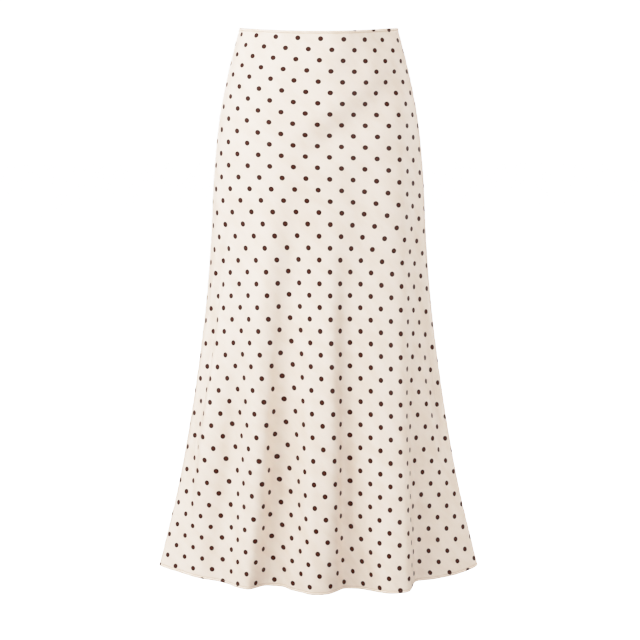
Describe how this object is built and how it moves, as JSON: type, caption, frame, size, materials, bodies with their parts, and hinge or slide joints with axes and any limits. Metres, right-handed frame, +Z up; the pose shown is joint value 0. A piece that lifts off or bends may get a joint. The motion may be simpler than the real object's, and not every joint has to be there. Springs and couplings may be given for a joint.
{
  "type": "slip skirt",
  "caption": "Long bias-cut satin slip skirt with a small spotted print, close at the waist and hip and flared to a softly fluted hem.",
  "frame": {"origin": "middle of the waist opening, level with the tops of the side seams, where the wearer's waist holds the skirt up", "axes": "+Z up, +X to the viewer's right across the skirt, the front panel faces -Y"},
  "size_m": [0.5034, 0.2532, 0.8581],
  "materials": {
    "satin": "pale cream satin with small dark brown dots on a diamond grid, glossy outside and duller inside"
  },
  "bodies": {
    "root": {"front_panel": "satin", "back_panel": "satin"}
  },
  "joints": []
}
